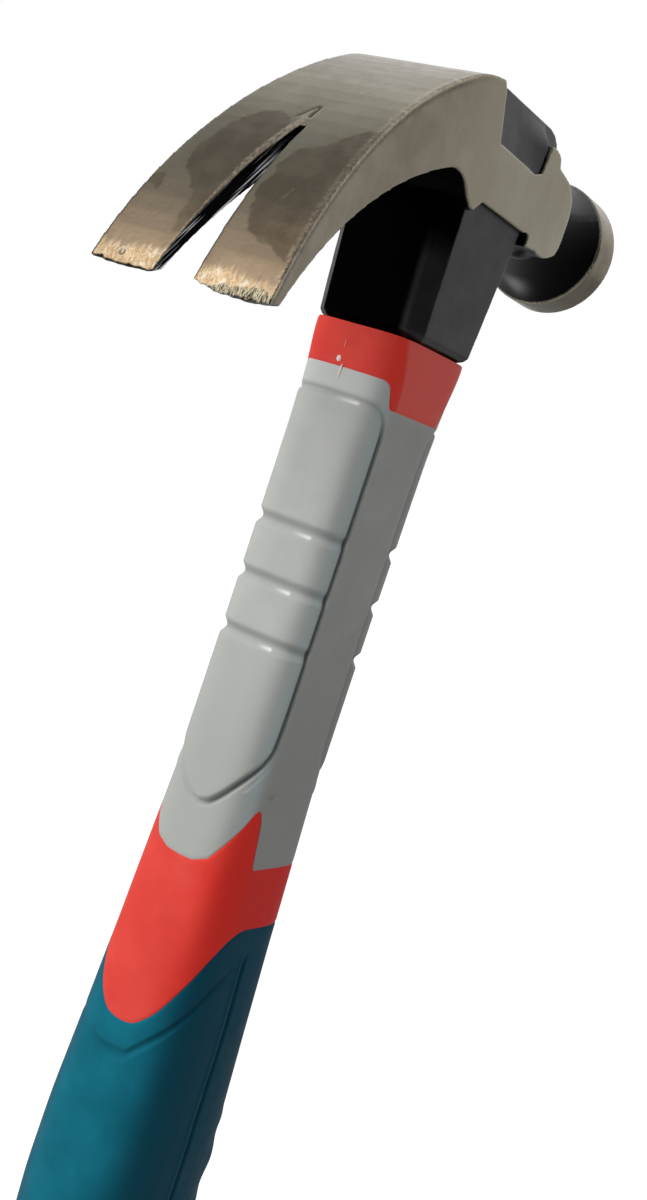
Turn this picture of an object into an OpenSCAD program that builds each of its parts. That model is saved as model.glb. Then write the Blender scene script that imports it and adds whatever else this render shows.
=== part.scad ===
// Claw hammer with a fibreglass handle, 330 mm long.
// Millimetres. +Z runs up the handle, +X points at the striking face, Y is across.
// The origin is the middle of the flat butt, on the handle's axis.

/* [Head] */
// Height of the socket's lower edge above the butt
socket_z = 279; // [260:1:300]
// Half thickness of the ground cheeks
cheek_y = 14.7; // [14:0.1:16]
// Half width of the claw at its tips
claw_tip_y = 20; // [18:0.1:23]
// Half width of the claw halfway along
claw_mid_y = 16.6; // [16:0.1:18]
// Half width of the V slot at the tips
slot_mouth_y = 4.4; // [3.5:0.1:5]
// Half width of the V slot at its root
slot_root_y = 0.7; // [0.5:0.1:1.2]
// Length of the V slot along the claw
slot_length = 36.5; // [30:0.5:40]
// How far the slot's mouth lies to the +Y side
slot_shift_y = 1; // [0:0.1:1.5]

/* [Striking face] */
// Distance of the striking face from the handle's axis
face_x = 58.6; // [54:0.1:62]
// Height of the face's centre above the socket's lower edge
face_z = 35.8; // [34:0.1:37]
// Radius of the ground rim round the face
rim_r = 14.4; // [13.8:0.1:15]
// Width of the ground rim
rim_w = 9.4; // [6:0.1:10]
// Chamfer round the face
face_chamfer = 1.2; // [0.6:0.1:1.8]

/* [Eye] */
// Half length of the eye, fore and aft, at the socket's lower edge
eye_x = 9.9; // [9.6:0.1:10.4]
// Half width of the eye at the socket's lower edge
eye_y = 7.5; // [7.2:0.1:8]
// How much wider the eye is at the top
eye_flare = 1.16; // [1.1:0.01:1.2]
// How far the poured bond lies below the top of the eye
eye_recess = 1.4; // [0.8:0.1:2]

/* [Core and jacket] */
// Half length of the fibreglass core's section, fore and aft
core_x = 9; // [8.5:0.1:9.4]
// Half width of the fibreglass core's section
core_y = 6.6; // [6.2:0.1:7]
// Half length of the jacket's section, fore and aft
jacket_x = 12; // [11:0.1:12.4]
// Half width of the jacket's section
jacket_y = 8.2; // [7.8:0.1:8.5]

/* [Grip relief] */
// Depth of the grooves round the grey pads
pad_groove = 0.9; // [0.5:0.1:1.2]
// How far the grey pads stand out
pad_rise = 0.35; // [0:0.05:0.5]
// Distance from one cross groove to the next
groove_pitch = 11.8; // [10:0.1:13]
// Depth of the grooves in the soft grip
grip_groove = 1; // [0.5:0.1:1.4]
// How far the soft grip's finger ribs stand out
rib_rise = 0.6; // [0:0.1:1]

/* [Butt] */
// Height of the hard butt cap
butt_h = 23; // [21:1:25]
// Radius of the hang hole
hang_r = 4; // [3:0.1:4.5]
// Height of the hang hole's axis above the butt
hang_z = 12; // [11:0.5:13]

/* [Hidden] */
$fn = 64;

sides = 60;             // points round a moulded section
step = 360 / sides;
thin = 0.2;             // least distance between two rings of points
over = 1;               // how far a cut runs past a face

// Heights above the socket's lower edge, in the head
ledge_z = 29.4;         // lower edge of the cheek
boss_z = 41;            // where the painted eye boss begins
crown_z = 52;           // top of the eye
tip = [-70.85, -6.4];   // outer edge of the claw's tip
tip_in = [-67.2, -5.9];  // inner edge of the claw's tip
socket_x = 12.65;       // half length of the socket at its lower edge
socket_y = 12.7;        // half width of the socket at its lower edge
socket_corner = 2.8;    // chamfer of its upright corners
socket_edge = 1.6;      // rounding of its lower edge
flare_x = 0.077;        // how fast the socket widens, fore and aft
flare_y = 0.029;        // how fast it widens sideways

// Sections of the grip: height, half length in X, half width in Y, squareness
grip_sections = [
    [0, 18.2, 13.9, 2.6], [2, 19.5, 15.1, 2.6], [6, 20.2, 15.8, 2.6], [14, 19.7, 15.5, 2.6],
    [butt_h, 18.8, 15, 2.6], [38, 17.9, 14.7, 2.5], [62, 18.5, 15.3, 2.5],
    [90, 19.7, 16.3, 2.5], [107, 19.3, 15.9, 2.6], [129, 17.9, 14.5, 2.8], [149, 16.8, 13, 3.2],
    [164, 15.8, 12, 3.8], [184, 14.9, 10.9, 4.3], [219, 14.8, 10.6, 4.5],
    [259, 14.8, 10.7, 4.5], [270, 14.8, 11.3, 4.6], [277, 15.1, 12.1, 4.9], [279, 14.9, 11.9, 5]
];

// Edges between the mouldings: angle from the claw side, drop below the socket
collar_edge = [[0, 8.8], [36, 8.9], [42, 10.2], [48, 14], [132, 14], [138, 10.2], [144, 8.9], [180, 8.8]];
sleeve_edge = [[0, 112.2], [12, 112], [24, 110.4], [36, 105], [48, 99.4], [54, 99], [60, 100.4],
               [66, 111], [78, 111.6], [180, 111.4]];
band_edge = [[0, 148.4], [12, 147.8], [24, 144], [36, 137.4], [48, 131], [60, 127], [72, 125.2],
             [84, 124.7], [180, 125]];

function mid(t, i) = [for (s = t) [s[0], s[i]]];
function smooth(t, z) = (lookup(z - 3, t) + 2 * lookup(z, t) + lookup(z + 3, t)) / 4;
function fold(a) = a > 180 ? 360 - a : a;

// Radius of a rounded rectangle (a superellipse) in one direction
function super_r(a, x, y, p) = pow(pow(abs(cos(a)) / x, p) + pow(abs(sin(a)) / y, p), -1 / p);
function grip_r(a, z) = super_r(a, smooth(mid(grip_sections, 1), z), smooth(mid(grip_sections, 2), z),
                                smooth(mid(grip_sections, 3), z));
function at(a, r, z) = [-r * cos(a), -r * sin(a), z];

// 1 at the middle of a groove, 0 at its edges
function dip(distance, half) = max(0, 1 - abs(distance) / half);

// The points from a to c along the circle through a, b and c
function arc3(a, b, c, n = 12) =
    let (d = 2 * (a[0] * (b[1] - c[1]) + b[0] * (c[1] - a[1]) + c[0] * (a[1] - b[1])),
         ux = ((a * a) * (b[1] - c[1]) + (b * b) * (c[1] - a[1]) + (c * c) * (a[1] - b[1])) / d,
         uy = ((a * a) * (c[0] - b[0]) + (b * b) * (a[0] - c[0]) + (c * c) * (b[0] - a[0])) / d,
         m = [ux, uy],
         r = norm(a - m),
         s = atan2(a[1] - uy, a[0] - ux),
         turn = d > 0 ? 1 : -1,
         raw = (atan2(c[1] - uy, c[0] - ux) - s) * turn,
         e = raw < 0 ? raw + 360 : raw)
    [for (i = [0:n]) m + r * [cos(s + turn * e * i / n), sin(s + turn * e * i / n)]];

// ---- Head ----

// Side view of the claw, the cheeks and the root of the neck
claw_top = arc3(tip, [-50.6, 28.2], [-24.5, 48.3], 20);
crown = arc3([-24.5, 48.3], [-19.5, 50.2], [-14.4, 51.2], 4);
claw_under = arc3([-23.3, 31.2], [-48.3, 15.9], tip_in, 18);
throat = arc3([-15, 28.7], [-18.2, 31.1], [-23.3, 31.2], 5);
neck_root = arc3([22.3, 44.4], [30.7, 35.6], [18.6, 26.4], 14);
cheek_outline = concat(
    claw_top, crown,
    [[-13.1, 49.9], [-8.8, boss_z], [8.3, boss_z - 0.3], [11, boss_z + 0.7], [11.4, 45.5], [11.9, 47.7],
     [14.5, 47.8], [16.8, 47.1], [18, 45.2]],
    neck_root,
    [[14, 25.9], [14, ledge_z], [-8.3, ledge_z], [-10.9, 26.9], [-12.4, 27]],
    throat, claw_under);

// Plan view of the same, flared to the claw's tips and drawn in at the neck
past_tip = tip[0] - over;
plan_outline = concat(
    arc3([past_tip, -claw_tip_y], [-52, -claw_mid_y], [-24, -cheek_y], 8),
    [[24, -cheek_y], [29, -14.5], [31.4, -13.8], [33.6, -12]],
    [[33.6, 12], [31.4, 13.8], [29, 14.5], [24, cheek_y]],
    arc3([-24, cheek_y], [-52, claw_mid_y], [past_tip, claw_tip_y], 8));

module along_y(width) rotate([90, 0, 0]) linear_extrude(width, center = true) children();
module along_x(x0, x1) translate([x0, 0, 0]) rotate([90, 0, 90]) linear_extrude(x1 - x0) children();

module claw_and_cheeks() {
    intersection() {
        along_y(60) polygon(cheek_outline);
        translate([0, 0, -20]) linear_extrude(90) polygon(plan_outline);
    }
}

// The painted block round the eye, above the cheeks
module eye_boss() {
    intersection() {
        along_y(40) polygon([[-13.8, 32], [-13.8, 51], [-7, crown_z], [15.4, crown_z], [17.8, 51.2],
                             [18.9, 49.8], [19.6, 46], [21, 42], [20, 32]]);
        along_x(-20, 40) polygon([[-14.2, 30], [-14.2, boss_z - 1], [-11.1, crown_z + 0.1],
                                  [11.1, crown_z + 0.1], [14.2, boss_z - 1], [14.2, 30]]);
    }
}

module octagon(x, y, c) {
    polygon([[x, y - c], [x - c, y], [c - x, y], [-x, y - c], [-x, c - y], [c - x, -y], [x - c, -y], [x, c - y]]);
}

module socket_slice(z, inset) {
    translate([0, 0, z])
        linear_extrude(0.01)
            octagon(socket_x + flare_x * z - inset, socket_y + flare_y * z - inset, socket_corner);
}

// The tapered block under the cheeks that the handle enters
module socket() {
    hull() {
        socket_slice(0, socket_edge);
        socket_slice(socket_edge * 0.4, socket_edge * 0.35);
        socket_slice(socket_edge, 0);
        socket_slice(boss_z - 1, 0);
    }
}

// Neck, bell and striking face, turned about the poll's axis
module poll() {
    rim_x = face_x - rim_w;
    cove = arc3([30, 9.7], [40.5, 10.9], [rim_x, rim_r - 0.3], 10);
    profile = concat([[12, 0], [12, 9.3]], cove,
                     [[rim_x, rim_r], [face_x - face_chamfer, rim_r],
                      [face_x, rim_r - face_chamfer], [face_x, 0]]);
    translate([0, 0, face_z])
        rotate([0, 90, 0])
            rotate_extrude()
                rotate([0, 0, 90])
                    polygon(profile);
}

// The V slot between the tines, cut square to the claw's outer face
module claw_slot() {
    slot_top = [-52.4, 0, 26.6];
    slot_tilt = 30.7;
    translate(slot_top)
        rotate([0, slot_tilt, 0])
            translate([0, 0, -slot_length - 8])
                rotate([90, 0, 90])
                    linear_extrude(60, center = true)
                        polygon([[-slot_root_y - slot_shift_y, slot_length + 8],
                                 [-slot_mouth_y + slot_shift_y, 8],
                                 [-slot_mouth_y + slot_shift_y, 0],
                                 [slot_mouth_y + slot_shift_y, 0],
                                 [slot_mouth_y + slot_shift_y, 8],
                                 [slot_root_y - slot_shift_y, slot_length + 8]]);
}

// The tapered hole that the handle's core is bonded in
module eye_shape(z0, z1) {
    function grow(z) = 1 + (eye_flare - 1) * z / crown_z;
    translate([0, 0, z0])
        linear_extrude(z1 - z0, scale = grow(z1) / grow(z0))
            scale(grow(z0))
                octagon(eye_x, eye_y, 3);
}

module hammer_head() {
    color("dimgray")
        translate([0, 0, socket_z])
            difference() {
                union() {
                    claw_and_cheeks();
                    eye_boss();
                    socket();
                    poll();
                }
                claw_slot();
                eye_shape(-over, crown_z + over);
            }
}

// ---- Core, bond and jacket ----

function section(x, y, p) = [for (i = [0:sides - 1]) let (a = i * step) -super_r(a, x, y, p) * [cos(a), sin(a)]];

module core_bar(z0, z1) {
    translate([0, 0, z0]) linear_extrude(z1 - z0) polygon(section(core_x, core_y, 4));
}

module fibreglass_core() {
    color("khaki") core_bar(butt_h, socket_z + crown_z - eye_recess);
}

module eye_epoxy() {
    color("black")
        difference() {
            translate([0, 0, socket_z]) eye_shape(0, crown_z - eye_recess);
            core_bar(socket_z - over, socket_z + crown_z);
        }
}

module inner_jacket() {
    color("darkslategray")
        difference() {
            translate([0, 0, butt_h]) linear_extrude(socket_z - butt_h) polygon(section(jacket_x, jacket_y, 4));
            core_bar(butt_h - over, socket_z + over);
        }
}

// ---- Mouldings round the jacket ----

// A moulding round the jacket. Each ring is [height, least drop below the top edge].
// top and low give its edges and relief its surface, all as functions of the angle.
module moulding(top, low, rings, relief) {
    n = len(rings);
    function ring_z(i, a) = max(min(rings[i][0], top(a) - rings[i][1]), low(a) + thin * (n - i));
    function outer(a, z) = at(a, grip_r(a, z) + relief(a, z), z);
    points = concat(
        [for (j = [0:sides - 1]) let (a = j * step) outer(a, top(a))],
        [for (i = [0:n - 1]) for (j = [0:sides - 1]) let (a = j * step) outer(a, ring_z(i, a))],
        [for (j = [0:sides - 1]) let (a = j * step) outer(a, low(a))],
        [for (j = [0:sides - 1]) let (a = j * step) at(a, super_r(a, jacket_x, jacket_y, 4), low(a))],
        [for (j = [0:sides - 1]) let (a = j * step) at(a, super_r(a, jacket_x, jacket_y, 4), top(a))]);
    rows = n + 4;
    polyhedron(points, [
        for (i = [0:rows - 1]) for (j = [0:sides - 1])
            let (k = (j + 1) % sides, up = i * sides, dn = ((i + 1) % rows) * sides)
            each [[up + j, up + k, dn + k], [up + j, dn + k, dn + j]]
    ]);
}

function collar_low(a) = socket_z - lookup(fold(a), collar_edge);
function sleeve_low(a) = socket_z - lookup(fold(a), sleeve_edge);
function band_low(a) = socket_z - lookup(fold(a), band_edge);
function flat_at(z) = function(a) z;
function levels(drops) = [for (d = drops) [socket_z - d, 0.01]];

module upper_collar() {
    color("tomato")
        moulding(flat_at(socket_z), function(a) collar_low(a), levels([1.2, 3, 6]), function(a, z) 0);
}

// Relief of the grey sleeve: pads front and back, ringed and crossed by grooves
first_groove = 41.8;
pad_side = 48;
pad_top = 14.1;
function pad_low(a) = lookup(a, [[0, 101.2], [12, 99], [24, 94.8], [36, 90.8], [pad_side, 85]]);
function off_front(a) = min(fold(a), 180 - fold(a));
function in_pad(a, d) = off_front(a) <= pad_side && d > pad_top + 1 && d < pad_low(off_front(a)) ? 1 : 0;
function cross_dip(d) = max([for (i = [0:2]) dip(d - first_groove - i * groove_pitch, 1.4)]);
function side_dip(a, d) = d > 19 && d < 86 ? dip(off_front(a) - pad_side, step) : 0;
function rim_dip(a, d) = off_front(a) > pad_side ? 0
    : max(dip(d - pad_low(off_front(a)), 1.6),
          dip(d - lookup(off_front(a), [[0, pad_top], [30, pad_top], [42, 16.4], [48, 20]]), 1.3));
function sleeve_relief(a, z) =
    let (d = socket_z - z)
    pad_rise * in_pad(a, d)
        - pad_groove * max(cross_dip(d) * in_pad(a, d), side_dip(a, d), rim_dip(a, d));

module grey_sleeve() {
    grooves = [for (i = [0:2]) for (e = [-1.4, 0, 1.4]) first_groove + i * groove_pitch + e];
    heights = concat([pad_top - 1.3, pad_top, pad_top + 1.3, 18, 24, 32], grooves,
                     [72, 79, 85, 88, 91, 94, 96.5, 99, 101.2, 103, 106, 109]);
    color("silver")
        moulding(function(a) collar_low(a), function(a) sleeve_low(a), levels(heights),
                 function(a, z) sleeve_relief(a, z));
}

module red_band() {
    color("tomato")
        moulding(function(a) sleeve_low(a), function(a) band_low(a),
                 levels([103, 108, 113, 118, 123, 128, 134, 140]), function(a, z) 0);
}

// Relief of the soft grip: a groove below its edge, one down each side, and ribs
groove_drop = 6.7;
function grip_relief(a, z) =
    let (below = band_low(a) - z, side = fold(a))
    - grip_groove * max(side <= 96 ? dip(below - groove_drop, 1.3) : 0,
                        below > groove_drop && z > butt_h + 12 ? dip(side - 96, step) : 0)
    + (side > 126 && z > 50 && z < 112 ? rib_rise * pow(cos((z - 50) * 360 / 12.4), 2) : 0);

module teal_grip() {
    edge_rings = [for (e = [-1.3, 0, 1.3]) [socket_z, groove_drop + e]];
    rib_rings = [for (z = [112:-3.1:50]) [z, groove_drop + 2]];
    color("teal")
        moulding(function(a) band_low(a), flat_at(butt_h),
                 concat(edge_rings, [[130, groove_drop + 2], [122, groove_drop + 2.4]], rib_rings,
                        [[42, 0], [35, 0], [28, 0]]),
                 function(a, z) grip_relief(a, z));
}

// The hard end of the handle, with the hang hole
module butt_cap() {
    heights = [0, 0.7, 2, 5, 9, 14, 19, butt_h];
    rows = len(heights);
    function in_at(z) = z < 2 ? 1.4 * pow(1 - z / 2, 2) : 0;
    points = [for (z = heights) for (j = [0:sides - 1]) let (a = j * step) at(a, grip_r(a, z) - in_at(z), z)];
    color("darkcyan")
        difference() {
            polyhedron(points, concat(
                [[for (j = [0:sides - 1]) j]],
                [for (i = [0:rows - 2]) for (j = [0:sides - 1])
                    let (k = (j + 1) % sides, dn = i * sides, up = dn + sides)
                    each [[up + j, up + k, dn + k], [up + j, dn + k, dn + j]]],
                [[for (j = [sides - 1:-1:0]) (rows - 1) * sides + j]]));
            translate([0, 0, hang_z]) rotate([90, 0, 0]) cylinder(h = 50, r = hang_r, center = true);
        }
}

hammer_head();
fibreglass_core();
eye_epoxy();
inner_jacket();
upper_collar();
grey_sleeve();
red_band();
teal_grip();
butt_cap();
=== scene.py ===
"""The looks of a claw hammer with a fibreglass handle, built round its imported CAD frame.

Shapes are worked out in millimetres and written to their meshes in metres. Angles round the
handle run in degrees from the claw side (-X) towards -Y. Drops are depths below the socket's
lower edge, from which the head's own heights are measured up.
"""
import math
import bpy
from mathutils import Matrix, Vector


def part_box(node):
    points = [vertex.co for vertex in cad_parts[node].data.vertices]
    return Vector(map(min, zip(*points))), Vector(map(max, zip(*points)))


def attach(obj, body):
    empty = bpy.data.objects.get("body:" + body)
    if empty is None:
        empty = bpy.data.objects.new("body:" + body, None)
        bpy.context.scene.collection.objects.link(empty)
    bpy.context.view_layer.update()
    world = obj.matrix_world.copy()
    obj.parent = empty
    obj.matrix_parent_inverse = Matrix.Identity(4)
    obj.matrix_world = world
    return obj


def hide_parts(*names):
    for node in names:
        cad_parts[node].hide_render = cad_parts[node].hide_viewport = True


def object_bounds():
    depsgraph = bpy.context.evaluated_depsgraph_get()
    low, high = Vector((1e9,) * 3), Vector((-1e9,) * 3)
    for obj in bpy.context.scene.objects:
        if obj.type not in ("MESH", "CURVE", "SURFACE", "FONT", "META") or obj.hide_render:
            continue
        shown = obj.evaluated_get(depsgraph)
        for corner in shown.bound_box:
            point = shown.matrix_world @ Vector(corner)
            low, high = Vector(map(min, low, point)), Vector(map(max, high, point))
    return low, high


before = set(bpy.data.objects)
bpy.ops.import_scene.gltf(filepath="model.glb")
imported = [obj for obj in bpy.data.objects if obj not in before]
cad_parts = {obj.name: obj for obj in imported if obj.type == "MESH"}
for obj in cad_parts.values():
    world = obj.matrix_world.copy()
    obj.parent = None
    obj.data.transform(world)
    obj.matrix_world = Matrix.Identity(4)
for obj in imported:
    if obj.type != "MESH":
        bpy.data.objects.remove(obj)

from types import SimpleNamespace

import bmesh
import bpy
import numpy as np
from mathutils import Matrix, Vector
from mathutils.bvhtree import BVHTree

MM = 0.001
CAD_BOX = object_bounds()
SCENE = bpy.context.scene

# ---- Image points, in the photograph's frame ----
PHOTO_W, PHOTO_H = 647, 1200
# The share of the photograph's height above its white lower margin
PHOTO_CUT = 0.9525
IMAGE_POINTS = {
    "left_x": (30, None),
    "right_x": (616, None),
    "top_y": (None, 54),
    "far_claw_tip": (90, 254),
    "near_claw_tip": (276, 304),
    "slot_root": (305, 125),
    "socket_left": (322, 314),
    "socket_right": (462, 365),
    "collar_step": (389, 409),
    "tip_pit": (122, 251),
    "root_mark": (315, 112),
    "gate_mark": (339, 358),
    "gate_flash": (340, 371),
    "collar_flash": (346, 343),
    "first_notch": (262, 515),
    "last_notch": (226, 622),
    "pad_foot": (205, 802),
    "star_point": (258, 813),
    "red_tongue": (133, 1025),
    "teal_vee": (None, 1055),
}

# ---- Camera, settled by the image points ----
CAMERA_PLACE = Vector((-0.26231, -0.16086, 0.25306))
CAMERA_AIM = Vector((0.00689, 0.0, 0.22347))
CAMERA_ROLL = math.radians(-18.53)
CAMERA_LENS = 44.476
SENSOR_WIDTH = 36.0
SHIFT_X, SHIFT_Y = 0.0, 0.0
LONG_SIDE = max(PHOTO_W, PHOTO_H)
FOCAL_PX = LONG_SIDE * CAMERA_LENS / SENSOR_WIDTH

# ---- Light and floor, in metres ----
WORLD_FILL = 0.38
KEY_FROM = Vector((-0.79, 0.47, 0.39))
KEY_DISTANCE = 1.15
KEY_SIZE = 1.1
KEY_POWER = 13.6
FLOOR_RADIUS = 30
FLOOR_DROP = 0.0002
# How bright the floor looks near the hammer and far off, and in reflections
FLOOR_GLOW_NEAR = 0.78
FLOOR_GLOW_FAR = 0.95
FLOOR_MIRRORED = 0.1
# The room shows only in the gloss. Its lamp lies this way
ROOM_RADIUS = 3.0
MIRRORED_KEY = Vector((-0.72, 0.6, 0.35))

# ---- Sizes taken from the frame, in millimetres ----
SOCKET_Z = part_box("upper_collar")[1].z / MM
BUTT_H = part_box("butt_cap")[1].z / MM
JACKET_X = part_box("inner_jacket")[1].x / MM
JACKET_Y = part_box("inner_jacket")[1].y / MM

# Points round each moulding, their angles, and its rows of points from top to bottom
SIDES = 400
ANGLES = np.arange(SIDES) * 360 / SIDES
ROWS = {"collar": 44, "sleeve": 330, "band": 80, "grip": 240}

# Sections of the grip: height, half length in X, half width in Y, squareness
GRIP_SECTIONS = np.array([
    [0, 18.2, 13.9, 2.6], [2, 19.5, 15.1, 2.6], [6, 20.2, 15.8, 2.6], [14, 19.7, 15.5, 2.6],
    [23, 18.8, 15, 2.6], [38, 17.9, 14.7, 2.5], [62, 18.5, 15.3, 2.5], [90, 19.7, 16.3, 2.5],
    [107, 19.3, 15.9, 2.6], [129, 17.9, 14.5, 2.8], [149, 16.8, 13, 3.2], [164, 15.8, 12, 3.8],
    [184, 14.9, 10.9, 4.3], [219, 14.8, 10.6, 4.5], [259, 14.8, 10.7, 4.5], [270, 14.8, 11.3, 4.6],
    [277, 15.1, 12.1, 4.9], [279, 14.9, 11.9, 5]])

# Edges between the mouldings: angle, drop
COLLAR_EDGE = [(0, 8.8), (36, 8.9), (41, 9.6), (46, 14), (134, 14), (139, 9.6), (144, 8.9), (180, 8.8)]
SLEEVE_EDGE = [(0, 112.2), (12, 112), (24, 110.4), (36, 105), (48, 99.4), (52, 98.6), (56, 99.4),
               (60, 103), (64, 110), (67, 111.6), (180, 111.4)]
BAND_EDGE = [(0, 148.4), (12, 147.8), (24, 144), (36, 137.4), (48, 131), (60, 127), (72, 125.2),
             (84, 124.7), (180, 125)]

# Relief of the grey sleeve: the pads' outline (angle, drop), grooves across them at three
# drops, and a side panel between two drops
PAD_OUTLINE = [(0, 14.1), (34, 14.1), (42, 15), (47, 18), (48, 23), (48, 60), (48, 85), (43, 88.4),
               (33, 92.2), (19, 97.4), (9, 100), (0, 100.6)]
PAD_RISE = 0.3
PAD_GROOVE = 1.05
CROSS_GROOVES = [41.8, 53.6, 65.4]
PANEL = (24, 96)
PANEL_RISE = 0.15
# Painted highlights in the grooves: drop, first and last angle
PAINTED_GLINTS = [(14.8, 2, 25), (42.8, 4, 22), (54.6, 4, 20), (66.4, 6, 20)]

# Relief of the soft grip: the V groove and the side grooves (angle, drop), and the finger ribs
VEE = [(-80, 149), (-45, 151.5), (-25, 153.4), (-6, 155), (13, 154.4), (22, 151.2), (35, 146.7),
       (60, 137), (80, 132.4)]
SIDE_GROOVE = [(96, 130), (93, 147), (87, 166), (84, 190)]
GRIP_GROOVE = 1.0
RIBS = (50, 112)
RIB_PITCH = 12.4
RIB_RISE = 0.6

# How far the gate marks stand out
BEAD_RISE = 0.2


def add_object(name, data):
    thing = bpy.data.objects.new(name, data)
    SCENE.collection.objects.link(thing)
    return thing


def simple_mesh(name, operation, **settings):
    mesh = bpy.data.meshes.new(name)
    work = bmesh.new()
    operation(work, **settings)
    work.to_mesh(mesh)
    work.free()
    return mesh


# ---- Camera, light and floor ----

def camera_axes():
    """Right, up and backward directions of the camera."""
    forward = (CAMERA_AIM - CAMERA_PLACE).normalized()
    level = forward.cross(Vector((0, 0, 1))).normalized()
    upright = level.cross(forward)
    up = upright * math.cos(CAMERA_ROLL) + level * math.sin(CAMERA_ROLL)
    return forward.cross(up), up, -forward


RIGHT, UP, BACK = camera_axes()


def make_camera():
    data = bpy.data.cameras.new("camera")
    data.sensor_fit = "AUTO"
    data.sensor_width = SENSOR_WIDTH
    data.lens = CAMERA_LENS
    data.shift_x = SHIFT_X
    data.shift_y = SHIFT_Y
    data.clip_start = 0.01
    data.clip_end = 100
    turn = Matrix((RIGHT, UP, BACK)).transposed()
    SCENE.camera = add_object("camera", data)
    SCENE.camera.matrix_world = Matrix.Translation(CAMERA_PLACE) @ turn.to_4x4()


def ray_through(x, y):
    """Direction from the camera through an image point."""
    across = x - PHOTO_W / 2 + SHIFT_X * LONG_SIDE
    upward = PHOTO_H / 2 - y + SHIFT_Y * LONG_SIDE
    return (RIGHT * across + UP * upward - BACK * FOCAL_PX).normalized()


def pixels(points):
    """Image places of points in metres, as an array of x, y."""
    rays = np.asarray(points, float).reshape(-1, 3) - np.array(CAMERA_PLACE)
    depth = -(rays @ np.array(BACK))
    x = PHOTO_W / 2 - SHIFT_X * LONG_SIDE + FOCAL_PX * (rays @ np.array(RIGHT)) / depth
    y = PHOTO_H / 2 + SHIFT_Y * LONG_SIDE - FOCAL_PX * (rays @ np.array(UP)) / depth
    return np.stack([x, y], axis=1)


def on_surface(x, y, tree):
    """Place and normal where an image point's ray meets the tree, or the place nearest the ray."""
    direction = ray_through(x, y)
    place, normal, _, _ = tree.ray_cast(CAMERA_PLACE, direction)
    if place is None:
        steps = [CAMERA_PLACE + direction * (0.1 + 0.002 * i) for i in range(250)]
        near = min((tree.find_nearest(step) for step in steps), key=lambda hit: hit[3])
        place, normal = near[0], near[1]
    return place, normal


def make_world():
    world = bpy.data.worlds.new("studio")
    world.use_nodes = True
    SCENE.world = world
    tree = world.node_tree
    tree.nodes.clear()
    rays = tree.nodes.new("ShaderNodeLightPath").outputs
    seen = larger(tree, rays["Is Camera Ray"], rays["Is Glossy Ray"])
    shown = larger(tree, seen, rays["Is Transmission Ray"])
    strength = spread(tree, shown, 0.0, 1.0, WORLD_FILL, 1.0)
    light = add_node(tree, "Background", {"Color": (1, 1, 1, 1), "Strength": strength})
    add_node(tree, "OutputWorld", {"Surface": light.outputs[0]})


def make_key_light():
    data = bpy.data.lights.new("key_light", "AREA")
    data.shape = "SQUARE"
    data.size = KEY_SIZE
    data.energy = KEY_POWER
    lamp = add_object("key_light", data)
    target = Vector((0, 0, SOCKET_Z * MM * 0.8))
    lamp.location = target + KEY_FROM.normalized() * KEY_DISTANCE
    lamp.rotation_mode = "QUATERNION"
    lamp.rotation_quaternion = KEY_FROM.to_track_quat("Z", "Y")
    lamp.visible_camera = False
    lamp.visible_glossy = False


def make_room():
    """What the gloss mirrors: a white backdrop, a soft lamp, a dim ceiling and a dark room."""
    room = add_object("room", simple_mesh("room", bmesh.ops.create_uvsphere, u_segments=48,
                                          v_segments=24, radius=ROOM_RADIUS))
    room.location.z = SOCKET_Z * MM
    for kind in ("camera", "diffuse", "transmission", "volume_scatter", "shadow"):
        setattr(room, "visible_" + kind, False)
    material, tree, surface = new_material("room_light")
    way = add_node(tree, "VectorMath", {0: own_place(tree)}, operation="NORMALIZE").outputs[0]
    parts = add_node(tree, "SeparateXYZ", {0: way}).outputs
    cloud = add_node(tree, "TexNoise", {"Vector": way, "Scale": 2.6, "Detail": 1.0}).outputs["Fac"]
    ragged = spread(tree, cloud, 0.3, 0.7, -0.05, 0.05)
    backdrop = spread(tree, plus(tree, parts[0], ragged), 0.0, 0.7)
    backdrop = times(tree, backdrop, spread(tree, parts[1], -0.5, 0.5, 0.5, 0.8))
    ceiling = spread(tree, plus(tree, parts[2], ragged), 0.3, 0.65, 0.03, 0.33)
    towards = add_node(tree, "VectorMath", {0: way, 1: MIRRORED_KEY.normalized()},
                       operation="DOT_PRODUCT").outputs["Value"]
    lamp = spread(tree, plus(tree, towards, ragged), 0.87, 1.0, 0.0, 1.3)
    pale = emission(tree, plus(tree, backdrop, ceiling))
    replace_shader(tree, surface, pale, emission(tree, lamp, (1, 0.84, 0.66, 1)))
    room.data.materials.append(material)


def make_floor():
    """A grey floor that takes the shadow, with a glow that makes it look white."""
    floor = add_object("floor", simple_mesh("floor", bmesh.ops.create_circle, cap_ends=True,
                                            radius=FLOOR_RADIUS, segments=96))
    floor.location.z = -FLOOR_DROP
    material, tree, surface = new_material("floor_white")
    rays = tree.nodes.new("ShaderNodeLightPath").outputs
    paper = add_node(tree, "BsdfDiffuse", {"Color": (0.5, 0.5, 0.5, 1)})
    away = add_node(tree, "VectorMath", {0: own_place(tree)}, operation="LENGTH").outputs["Value"]
    seen = spread(tree, away, 0.5, 1.5, FLOOR_GLOW_NEAR, FLOOR_GLOW_FAR)
    glow = plus(tree, times(tree, rays["Is Camera Ray"], seen),
                times(tree, rays["Is Glossy Ray"], FLOOR_MIRRORED))
    replace_shader(tree, surface, paper, emission(tree, glow))
    floor.data.materials.append(material)


# ---- Nodes ----

def set_inputs(tree, node, inputs):
    """Sets a node's inputs to values, or links them to sockets or to painted masks by name."""
    for key, value in inputs.items():
        if isinstance(value, str):
            value = add_node(tree, "Attribute", {}, attribute_name=value).outputs["Fac"]
        if isinstance(value, bpy.types.NodeSocket):
            tree.links.new(value, node.inputs[key])
        else:
            node.inputs[key].default_value = value


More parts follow.
